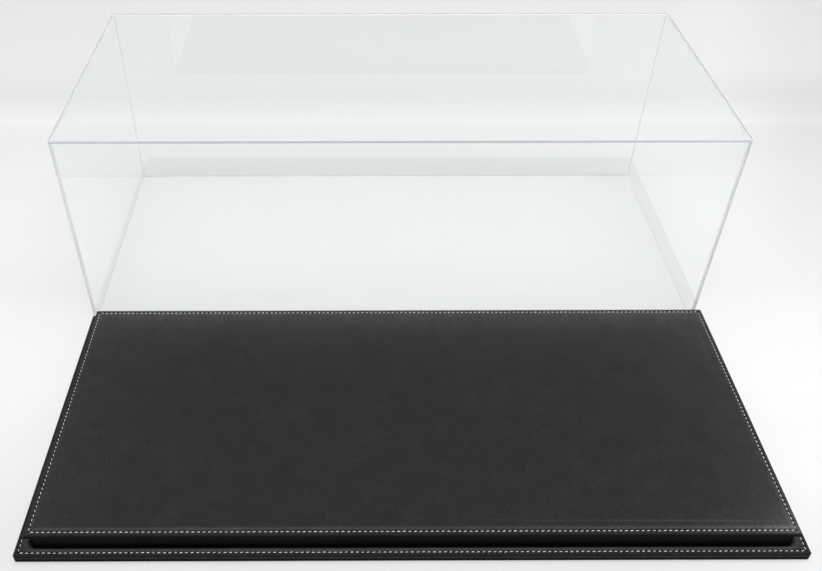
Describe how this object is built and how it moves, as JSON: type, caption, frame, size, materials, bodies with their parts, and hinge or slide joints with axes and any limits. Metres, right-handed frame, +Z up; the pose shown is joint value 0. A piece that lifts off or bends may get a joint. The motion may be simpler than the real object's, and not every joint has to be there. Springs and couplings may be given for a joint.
{
  "type": "model display case",
  "caption": "Wide display case for a scale model: a clear five-sided cover that lifts off a stepped, stitched leather base with a raised plate.",
  "frame": {"origin": "middle of the base's felt underside, on the surface that the case stands on", "axes": "+X to the right along the case's length, -Y towards the viewer, +Z up"},
  "size_m": [0.6505, 0.5839, 0.2184],
  "materials": {
    "leather": "black fine-grained leather, softly matt",
    "thread": "off-white sewing thread",
    "fibreboard": "raw medium-density fibreboard",
    "felt": "black felt",
    "zinc_steel": "zinc-plated steel",
    "acrylic": "clear polished acrylic sheet"
  },
  "bodies": {
    "base": {"underside_felt": "felt", "board_core": "fibreboard", "riser_core": "fibreboard", "plate_core": "fibreboard", "board_edge_wrap": "leather", "board_top_sheet": "leather", "riser_wrap": "leather", "plate_edge_wrap": "leather", "plate_top_sheet": "leather", "board_seam_front": "thread", "board_seam_right": "thread", "board_seam_back": "thread", "board_seam_left": "thread", "plate_seam_front": "thread", "plate_seam_right": "thread", "plate_seam_back": "thread", "plate_seam_left": "thread", "base_screw_1": "zinc_steel", "base_screw_2": "zinc_steel", "base_screw_3": "zinc_steel", "base_screw_4": "zinc_steel", "base_screw_5": "zinc_steel", "base_screw_6": "zinc_steel", "base_screw_7": "zinc_steel", "base_screw_8": "zinc_steel"},
    "cover": {"cover_top_panel": "acrylic", "cover_front_panel": "acrylic", "cover_back_panel": "acrylic", "cover_left_panel": "acrylic", "cover_right_panel": "acrylic"}
  },
  "joints": [
    {"name": "cover_lift", "type": "slide", "parent": "base", "child": "cover", "axis": [0, 0, 1], "range_m": [0, 0.24]}
  ]
}
